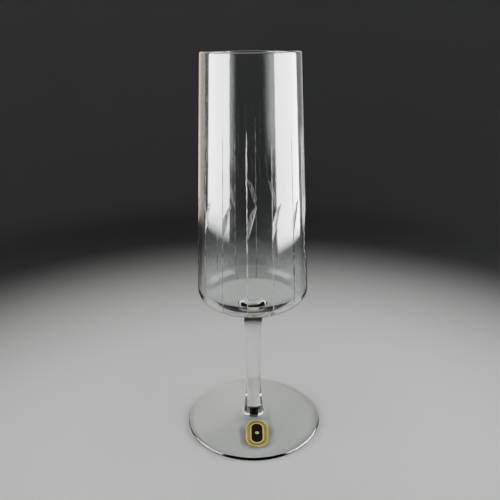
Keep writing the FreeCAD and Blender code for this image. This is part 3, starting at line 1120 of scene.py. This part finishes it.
@dataclass
class Foot:
    """Pressed foot: a shallow cone with a rounded edge and a hub in the middle."""

    hub_radius: float = 5.1 * MM
    plate_inner: Point = (6.48 * MM, 4.46 * MM)
    plate_outer: Point = (34.04 * MM, 1.9 * MM)
    rest_inner: float = 30.5 * MM
    underside_rise: float = 1.3 * MM
    columns: int = 240
    disc_steps: int = 2
    plate_steps: int = 4
    bend_steps: int = 12
    edge_steps: int = 16

    def plate_level(self, radius: float) -> float:
        """Level of the plate's top at a radius."""
        across, up = apart(self.plate_outer, self.plate_inner)
        return self.plate_inner[1] + (radius - self.plate_inner[0]) * (up / across)

    def outline(self) -> Outline:
        """Half section of the foot, from the hollow beneath round to the hub.

        Returns:
            The outline.
        """
        hub = (self.hub_radius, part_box("foot")[1].z)
        facing = Straight(self.plate_outer, self.plate_inner).facing(self.plate_inner)
        edge_round = self.plate_outer[1] / (1 + facing[1])
        edge = moved(self.plate_outer, facing, -edge_round)
        gap = apart(hub, self.plate_inner)
        hub_round = (gap[0] ** 2 + gap[1] ** 2) / (2 * (gap[0] * facing[0] + gap[1] * facing[1]))
        hub_centre = moved(self.plate_inner, facing, hub_round)
        hollow = (self.rest_inner**2 + self.underside_rise**2) / (2 * self.underside_rise)
        hollow_centre = (0.0, self.underside_rise - hollow)
        drawn = Outline((0.0, self.underside_rise))
        drawn.arc_to(hollow_centre, (self.rest_inner, 0.0), Turn.RIGHT, self.bend_steps)
        drawn.line_to((edge[0], 0.0))
        drawn.arc_to(edge, self.plate_outer, Turn.LEFT, self.edge_steps)
        drawn.line_to(self.plate_inner, self.plate_steps)
        drawn.arc_to(hub_centre, hub, Turn.RIGHT, self.bend_steps)
        drawn.line_to((0.0, hub[1]), self.disc_steps)
        return drawn

    def build(self, glass: GlassSet) -> Object:
        """Press and dress the foot.

        Args:
            glass: The finishes of the glass.

        Returns:
            The foot.
        """
        outline = self.outline()
        mesh = glass.spin(outline, self.columns, [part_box("foot")[1].z], "pressed_foot")
        exact_normals(mesh, outline, SEAM_CREASE)
        return as_piece(mesh, "pressed_foot", "foot")


@dataclass
class Label:
    """Foil label with raised border lines, a dark oval and rows of plain ticks."""

    foot: Foot
    lift: float = 0.01 * MM
    thickness: float = 0.075 * MM
    emboss: float = 0.03 * MM
    shoulder: float = 0.08 * MM
    border: float = 0.55 * MM
    band: float = 1.62 * MM
    inner_line: float = 0.50 * MM
    dot_radius: float = 1.05 * MM
    dot_sides: int = 48
    tick_size: Stretch = (0.42 * MM, 0.85 * MM, 0.03 * MM)
    tick_reach: float = 1.48 * MM
    tick_angles: tuple[float, ...] = (-54.0, -36.0, -18.0, 0.0, 18.0, 36.0, 54.0)
    rim_points: int = 98
    grid_pitch: float = 0.5 * MM
    crease: float = math.radians(15.0)

    def __post_init__(self) -> None:
        """Read the label's size and place from the frame."""
        low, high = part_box("label")
        self.width = high.x - low.x
        self.length = high.y - low.y
        self.middle = Vector(((low.x + high.x) / 2, (low.y + high.y) / 2, 0.0))

    def blank(self, shape: Shape) -> bmesh.types.BMFace:
        """Punch a plain oval with straight sides, as thick as its raised lines.

        Args:
            shape: The empty mesh.

        Returns:
            The oval's top.
        """
        made = bmesh.ops.create_circle(
            shape, cap_ends=True, segments=self.rim_points, radius=self.width / 2
        )
        for vert in made["verts"]:
            vert.co.y += math.copysign((self.length - self.width) / 2, vert.co.y)
        oval = made["verts"][0].link_faces[0]
        raised = bmesh.ops.extrude_face_region(shape, geom=[oval])["geom"]
        top = only(raised, bmesh.types.BMFace)[0]
        bmesh.ops.translate(shape, verts=top.verts[:], vec=UP * (self.thickness + self.emboss))
        bmesh.ops.recalc_face_normals(shape, faces=shape.faces[:])
        return top

    def emboss_bands(self, shape: Shape, top: bmesh.types.BMFace) -> None:
        """Step the top in, band by band, down and up again to the dark oval.

        Args:
            shape: The label's mesh.
            top: Its top, which ends up in the middle.
        """
        bands = (
            (self.border, 0.0, LabelFace.RIDGE),
            (self.shoulder, -self.emboss, LabelFace.RIDGE),
            (self.band, 0.0, LabelFace.FOIL),
            (self.shoulder, self.emboss, LabelFace.RIDGE),
            (self.inner_line, 0.0, LabelFace.RIDGE),
            (self.shoulder, -self.emboss, LabelFace.INK),
        )
        for width, rise, finish in bands:
            ring = bmesh.ops.inset_region(
                shape, faces=[top], thickness=width, depth=rise, use_even_offset=True
            )
            for face in ring["faces"]:
                face.material_index = finish
        top.material_index = LabelFace.INK

    def print_ticks(self, shape: Shape) -> None:
        """Add a fan of small dark bars round each end.

        Args:
            shape: The label's mesh, still flat.
        """
        end = (self.length - self.width) / 2
        for side in (0, 1):
            for angle in self.tick_angles:
                place = (
                    Matrix.Rotation(side * math.pi, 4, "Z")
                    @ Matrix.Translation((0.0, end, self.thickness))
                    @ Matrix.Rotation(math.radians(angle), 4, "Z")
                    @ Matrix.Translation((0.0, self.width / 2 - self.tick_reach, 0.0))
                    @ Matrix.Diagonal((*self.tick_size, 1.0))
                )
                bar = bmesh.ops.create_cube(shape, size=1.0, matrix=place)
                self.mark(bar["verts"], LabelFace.INK)

    def press_dot(self, shape: Shape) -> None:
        """Add the raised dot in the middle.

        Args:
            shape: The label's mesh, still flat.
        """
        dot = bmesh.ops.create_cone(
            shape, cap_ends=True, segments=self.dot_sides, radius1=self.dot_radius,
            radius2=self.dot_radius - self.shoulder, depth=2 * self.emboss,
            matrix=Matrix.Translation((0.0, 0.0, self.thickness)),
        )
        self.mark(dot["verts"], LabelFace.RIDGE)

    @staticmethod
    def mark(verts: list, finish: LabelFace) -> None:
        """Give every face round some vertices a finish."""
        for face in {face for vert in verts for face in vert.link_faces}:
            face.material_index = finish

    def build(self) -> Object:
        """Punch, emboss, print and lay the label on the foot.

        Returns:
            The label.
        """
        shape = bmesh.new()
        self.emboss_bands(shape, self.blank(shape))
        self.print_ticks(shape)
        self.press_dot(shape)
        self.lay(shape)
        mesh = to_mesh(shape, "foil_label")
        for finish in (GoldFoil(), BlackInk(), RAISED_FOIL):
            mesh.materials.append(finish.build())
        mark_sharp(mesh, self.crease)
        return as_piece(mesh, "foil_label", "label")

    def lay(self, shape: Shape) -> None:
        """Slice the flat label finely, move it to its place and bend it to the plate.

        Args:
            shape: The label's mesh, still flat and in the middle.
        """
        for axis, size in ((Vector((1, 0, 0)), self.width), (Vector((0, 1, 0)), self.length)):
            count = int(size / self.grid_pitch)
            for index in range(1, count):
                bmesh.ops.bisect_plane(
                    shape,
                    geom=everything(shape),
                    dist=MERGE_GAP,
                    plane_co=axis * (size * (index / count - 0.5)),
                    plane_no=axis,
                )
        bmesh.ops.translate(shape, verts=shape.verts[:], vec=self.middle)
        for vert in shape.verts:
            vert.co.z += self.lift + self.foot.plate_level(math.hypot(vert.co.x, vert.co.y))


# ---------------------------------------------------------------- studio


@dataclass(frozen=True)
class GlowPatch:
    """A bright stretch of the studio's wall, reaching down towards the floor.

    Its azimuth is measured from the front towards the right, and it starts where
    the distance from the middle passes the range given.
    """

    azimuth: float
    half_width: float
    start: Point
    direct: float
    gloss: float
    colour: Colour


class Sight(Enum):
    """Which light paths meet a sweep."""

    DIRECT = "direct"
    GLOSS = "gloss"


@dataclass
class Studio:
    """Pale floor, painted darker outwards as a pool of light, sweeping up into a grey wall with
    soft bright stretches at the sides.
    """

    drop: float = 0.05 * MM
    floor_radius: float = 360.0 * MM
    sweep_radius: float = 160.0 * MM
    wall_top: float = 750.0 * MM
    gloss_gap: float = 0.5 * MM
    columns: int = 128
    floor_steps: int = 8
    curve_steps: int = 24
    wall_steps: int = 4
    # The floor is painted pale in the middle and fades to the grey over the radii given. This is
    # a painted pool of light that stands in for light falling off. The wall is plain grey.
    pale: Colour = (0.80, 0.80, 0.79)
    grey_wall_and_painted_shade: Colour = (0.035, 0.035, 0.037)
    painted_falloff: Point = (90.0 * MM, 310.0 * MM)
    matt: float = 0.9
    sheen: float = 0.1
    patches: tuple[GlowPatch, ...] = (
        GlowPatch(
            azimuth=math.radians(-74.5), half_width=math.radians(27.5),
            start=(400.0 * MM, 460.0 * MM), direct=3.2, gloss=34.0, colour=(0.98, 1.0, 0.985),
        ),
        GlowPatch(
            azimuth=math.radians(84.5), half_width=math.radians(32.5),
            start=(370.0 * MM, 420.0 * MM), direct=3.2, gloss=34.0, colour=(0.98, 1.0, 0.985),
        ),
        GlowPatch(
            azimuth=math.radians(-150.0), half_width=math.radians(32.0),
            start=(380.0 * MM, 440.0 * MM), direct=0.0, gloss=1.6, colour=(1.0, 0.88, 0.74),
        ),
        GlowPatch(
            azimuth=math.radians(150.0), half_width=math.radians(28.0),
            start=(380.0 * MM, 440.0 * MM), direct=0.0, gloss=0.7, colour=(1.0, 0.98, 0.95),
        ),
    )
    soft_edge: float = math.radians(16.0)
    crisp_edge: float = math.radians(1.6)
    glow_top: Point = (420.0 * MM, 550.0 * MM)
    world_grey: float = 0.10
    contrast: str = "AgX - Medium High Contrast"
    bounces: int = 32

    def patch_glow(
        self, recipe: Recipe, patch: GlowPatch, toward: Socket,
        radius: Socket, sight: Sight,
    ) -> Socket:
        """Light of one bright stretch.

        Args:
            recipe: The sweep's material.
            patch: The bright stretch.
            toward: Level direction from the middle to the place.
            radius: Level distance from the middle to the place.
            sight: Which light paths the sweep is for.

        Returns:
            The light's colour and strength.
        """
        direct = sight is Sight.DIRECT
        strength = patch.direct if direct else patch.gloss
        edge = self.soft_edge if direct else self.crisp_edge
        aim = (math.sin(patch.azimuth), -math.cos(patch.azimuth), 0.0)
        near = recipe.node("VectorMath", {0: toward, 1: aim}, operation="DOT_PRODUCT")
        edges = (math.cos(patch.half_width + edge), math.cos(patch.half_width - edge))
        across = recipe.span(near.outputs["Value"], 0.0, strength, source=edges, smooth=True)
        inside = recipe.span(radius, 0.0, 1.0, source=patch.start, smooth=True)
        share = recipe.node("Math", {0: across, 1: inside}, operation="MULTIPLY").outputs[0]
        tinted = recipe.node("VectorMath", {0: patch.colour, "Scale": share}, operation="SCALE")
        return tinted.outputs[0]

    def wall_material(self, sight: Sight) -> Material:
        """Pale floor with a painted pool of light fading to grey outwards, grey wall and bright
        stretches, by place.

        Args:
            sight: Which light paths the sweep is for.

        Returns:
            The material.
        """
        recipe = Recipe(f"studio_{sight.value}")
        here = recipe.node("TexCoord").outputs["Object"]
        flat = recipe.node("VectorMath", {0: here, 1: (1.0, 1.0, 0.0)}, operation="MULTIPLY")
        flat = flat.outputs[0]
        radius = recipe.node("VectorMath", {0: flat}, operation="LENGTH").outputs["Value"]
        toward = recipe.node("VectorMath", {0: flat}, operation="NORMALIZE").outputs[0]
        level = recipe.node("SeparateXYZ", {0: here}).outputs["Z"]
        glow, *others = (
            self.patch_glow(recipe, patch, toward, radius, sight) for patch in self.patches
        )
        for other in others:
            glow = recipe.node("VectorMath", {0: glow, 1: other}, operation="ADD").outputs[0]
        # Painted pool of light: the floor's colour fades from pale to grey outwards, standing in
        # for light falling off.
        painted_falloff = recipe.span(radius, 0.0, 1.0, source=self.painted_falloff, smooth=True)
        return recipe.principled({
            "Base Color": recipe.blend(painted_falloff, self.pale, self.grey_wall_and_painted_shade),
            "Roughness": self.matt,
            "Specular IOR Level": self.sheen,
            "Emission Color": glow,
            "Emission Strength": recipe.span(level, 1.0, 0.0, source=self.glow_top, smooth=True),
        })

    def sweep(self, sight: Sight, inset: float) -> Object:
        """Floor, curve and wall in one surface.

        Args:
            sight: Which light paths the sweep is for.
            inset: How far it stands inside the outer one.

        Returns:
            The sweep.
        """
        flat_end = (self.floor_radius - inset, -self.drop)
        centre = (flat_end[0], self.sweep_radius - self.drop)
        wall = flat_end[0] + self.sweep_radius
        drawn = Outline((0.0, -self.drop))
        drawn.line_to(flat_end, self.floor_steps)
        drawn.arc_to(centre, (wall, centre[1]), Turn.LEFT, self.curve_steps)
        drawn.line_to((wall, self.wall_top), self.wall_steps)
        shape = drawn.revolve(self.columns)
        bmesh.ops.reverse_faces(shape, faces=shape.faces[:])
        name = f"studio_{sight.value}"
        mesh = to_mesh(shape, name)
        mesh.materials.append(self.wall_material(sight))
        mesh.shade_smooth()
        sweep = in_scene(mesh, name)
        return sweep

    def build(self) -> None:
        """Make the sweeps, the world and the light paths that thick glass needs."""
        direct = self.sweep(Sight.DIRECT, 0.0)
        direct.visible_glossy = False
        gloss = self.sweep(Sight.GLOSS, self.gloss_gap)
        gloss.visible_camera = False
        gloss.visible_diffuse = False
        gloss.visible_transmission = False
        gloss.visible_shadow = False
        world = bpy.data.worlds.new("studio_world")
        world.use_nodes = True
        background = world.node_tree.nodes["Background"]
        background.inputs["Color"].default_value = (self.world_grey,) * 3 + (1.0,)
        scene = bpy.context.scene
        scene.world = world
        scene.view_settings.look = self.contrast
        scene.cycles.max_bounces = self.bounces
        scene.cycles.transmission_bounces = self.bounces
        scene.cycles.blur_glossy = 0.0
        log.info("studio: sweeps and world")


@dataclass
class Camera:
    """Camera in front of the flute, looking down on it."""

    place: Stretch = (-1.10 * MM, -259.6 * MM, 192.2 * MM)
    pitch: float = 0.3535
    roll: float = 0.0104
    lens: float = 41.236

    def build(self) -> None:
        """Add the camera and make it the scene's."""
        data = bpy.data.cameras.new("camera")
        data.lens = self.lens
        camera = in_scene(data, "camera")
        camera.matrix_world = (
            Matrix.Translation(self.place)
            @ Matrix.Rotation(math.pi / 2 - self.pitch, 4, "X")
            @ Matrix.Rotation(-self.roll, 4, "Z")
        )
        bpy.context.scene.camera = camera
        log.info("camera: %.1f mm lens", self.lens)


def main() -> None:
    """Build the studio, the camera and every piece of the flute in order."""
    Studio().build()
    Camera().build()
    glass = GlassSet()
    foot = Foot()
    foot.build(glass)
    Stem().build(glass)
    Bowl().build(glass)
    Label(foot).build()


if __name__ == "__main__":
    main()
